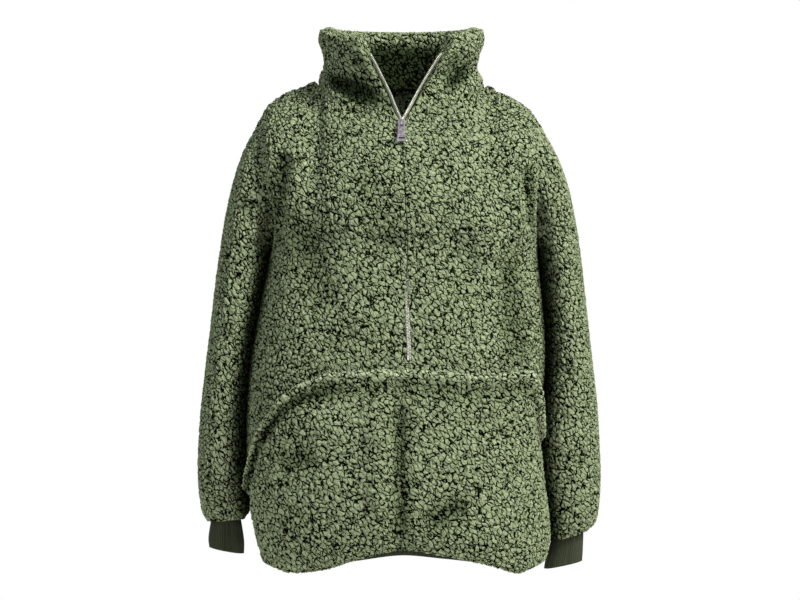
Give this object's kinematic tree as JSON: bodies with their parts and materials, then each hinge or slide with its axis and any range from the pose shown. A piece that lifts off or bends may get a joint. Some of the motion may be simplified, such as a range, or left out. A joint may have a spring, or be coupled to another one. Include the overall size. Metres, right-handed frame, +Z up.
{
  "type": "half-zip sherpa fleece pullover",
  "caption": "Half-zip sherpa fleece pullover with a high doubled collar and a kangaroo pocket, filled out as worn.",
  "frame": {"origin": "centre of the neck's base, where the wearer's shoulders carry the garment", "axes": "+Z up, -Y out of the chest, +X to the right as seen from the front"},
  "size_m": [0.5626, 0.3084, 0.7574],
  "materials": {
    "sherpa_fleece": "olive curly pile",
    "rib_knit": "dark olive ribbed knit",
    "zip_tape": "woven tape with grey teeth",
    "zip_metal": "polished"
  },
  "bodies": {
    "garment": {"front": "sherpa_fleece", "back": "sherpa_fleece", "sleeve_left": "sherpa_fleece", "sleeve_right": "sherpa_fleece", "collar": "sherpa_fleece", "pocket": "sherpa_fleece", "hem_band": "rib_knit", "cuff_left": "rib_knit", "cuff_right": "rib_knit", "zip_left": "zip_tape", "zip_right": "zip_tape", "zip_slider": "zip_metal", "zip_stop": "zip_metal"},
    "pull_tab": {"pull_tab": "zip_metal"}
  },
  "joints": [
    {"name": "pull_tab_swing", "type": "hinge", "parent": "garment", "child": "pull_tab", "pos_m": [-0.002, -0.09136, -0.04955], "axis": [-1, 0, 0], "range_deg": [0, 140]}
  ]
}
